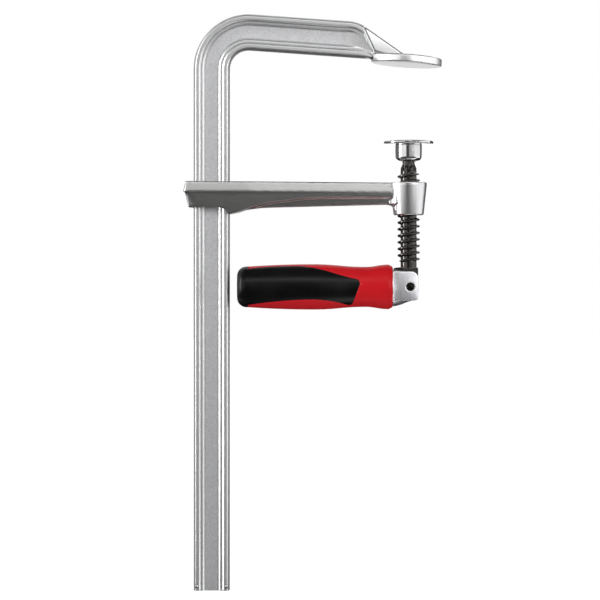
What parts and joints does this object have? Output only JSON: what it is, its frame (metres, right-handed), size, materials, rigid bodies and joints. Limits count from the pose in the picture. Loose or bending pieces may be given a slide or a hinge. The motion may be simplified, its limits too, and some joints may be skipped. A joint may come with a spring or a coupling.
{
  "type": "screw clamp",
  "caption": "Steel bar clamp with a fixed jaw, a sliding arm, a screw with a swivelling pressure plate and a handle that folds sideways.",
  "frame": {"origin": "on the screw's axis, where it meets the fixed jaw's clamping face", "axes": "+Z from the screw towards the fixed jaw, along the screw and the rail; +X from the rail to the screw; +Y to the back"},
  "size_m": [0.1733, 0.0472, 0.3865],
  "materials": {
    "rail_steel": "satin zinc on drawn steel",
    "arm_steel": "brushed forging, zinc plated",
    "screw_steel": "dark oxide, lightly oiled",
    "cap_steel": "hardened, ground",
    "liner_plastic": "moulded",
    "plate_chrome": "bright plated",
    "fork_steel": "satin zinc, fine grain",
    "pin_steel": "black spring steel",
    "spring_steel": "drawn wire",
    "core_red": "hard moulded plastic, satin gloss",
    "grip_black": "soft moulded elastomer"
  },
  "bodies": {
    "frame": {"rail_and_fixed_jaw": "rail_steel"},
    "arm": {"sliding_arm": "arm_steel"},
    "thrust": {"thrust_cap": "cap_steel"},
    "spindle": {"screw_spindle": "screw_steel"},
    "liner": {"snap_liner": "liner_plastic"},
    "plate": {"swivel_cup": "plate_chrome", "pressure_plate": "plate_chrome"},
    "handle": {"handle_fork": "fork_steel", "hinge_pin": "pin_steel", "detent_spring": "spring_steel", "handle_core": "core_red", "soft_grip": "grip_black"},
    "detent": {"detent_plunger": "cap_steel"}
  },
  "joints": [
    {"name": "arm_slide", "type": "slide", "parent": "frame", "child": "arm", "axis": [0, 0, 1], "range_m": [-0.248, 0.016]},
    {"name": "screw_travel", "type": "slide", "parent": "arm", "child": "thrust", "axis": [0, 0, 1], "range_m": [-0.012, 0.03]},
    {"name": "spindle_turn", "type": "hinge", "parent": "thrust", "child": "spindle", "pos_m": [0, 0, -0.1], "axis": [0, 0, 1], "range_deg": [-985, 2460]},
    {"name": "plate_swivel", "type": "hinge", "parent": "thrust", "child": "liner", "pos_m": [0, 0, -0.059], "axis": [0, 0, 1], "continuous": true},
    {"name": "plate_tilt", "type": "hinge", "parent": "liner", "child": "plate", "pos_m": [0, 0, -0.059], "axis": [1, 0, 0], "range_deg": [-8, 8]},
    {"name": "handle_fold", "type": "hinge", "parent": "spindle", "child": "handle", "pos_m": [0.0008, 0, -0.149], "axis": [0, -1, 0], "range_deg": [0, 90]},
    {"name": "detent_travel", "type": "slide", "parent": "handle", "child": "detent", "axis": [1, 0, 0], "range_m": [0, 0.0007], "stiffness_N_per_m": 400}
  ],
  "couplings": [
    {"joint": "spindle_turn", "follows": "screw_travel", "rad_per_m": 1428}
  ]
}
